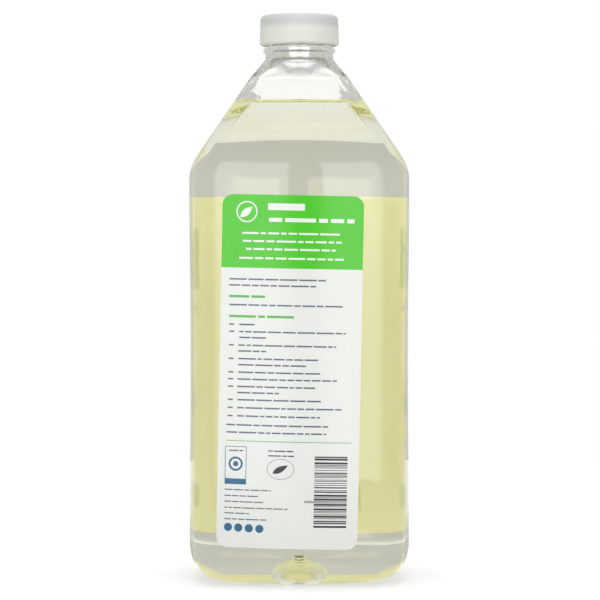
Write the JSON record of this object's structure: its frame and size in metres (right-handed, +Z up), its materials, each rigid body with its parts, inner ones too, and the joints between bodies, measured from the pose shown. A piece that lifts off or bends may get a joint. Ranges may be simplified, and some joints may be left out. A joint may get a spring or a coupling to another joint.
{
  "type": "hand soap refill bottle",
  "caption": "Clear rectangular blown bottle with sloping shoulders, filled with pale liquid soap, with a smooth screw cap, a liner and a film label on each wide face.",
  "frame": {"origin": "middle of the bottle's base, on the surface that it stands on", "axes": "+Z up along the neck's axis, +X along the wide faces to the right as the back label is seen, -Y out of the back label"},
  "size_m": [0.0856, 0.076, 0.2185],
  "materials": {
    "clear_bottle": "clear, polished",
    "natural_cap": "natural, translucent, satin",
    "liner_foam": "fine foam",
    "pale_soap": "clear pale yellow liquid",
    "label_film": "satin printed film"
  },
  "bodies": {
    "bottle": {"bottle": "clear_bottle", "soap": "pale_soap", "back_label": "label_film", "front_label": "label_film"},
    "liner": {"cap_liner": "liner_foam"},
    "cap": {"cap": "natural_cap"}
  },
  "joints": [
    {"name": "cap_lift", "type": "slide", "parent": "bottle", "child": "liner", "axis": [0, 0, 1], "range_m": [0, 0.0037]},
    {"name": "cap_turn", "type": "hinge", "parent": "liner", "child": "cap", "pos_m": [0, 0, 0.2067], "axis": [0, 0, 1], "range_deg": [0, 310]}
  ],
  "couplings": [
    {"joint": "cap_lift", "follows": "cap_turn", "m_per_rad": 0.0006737}
  ]
}
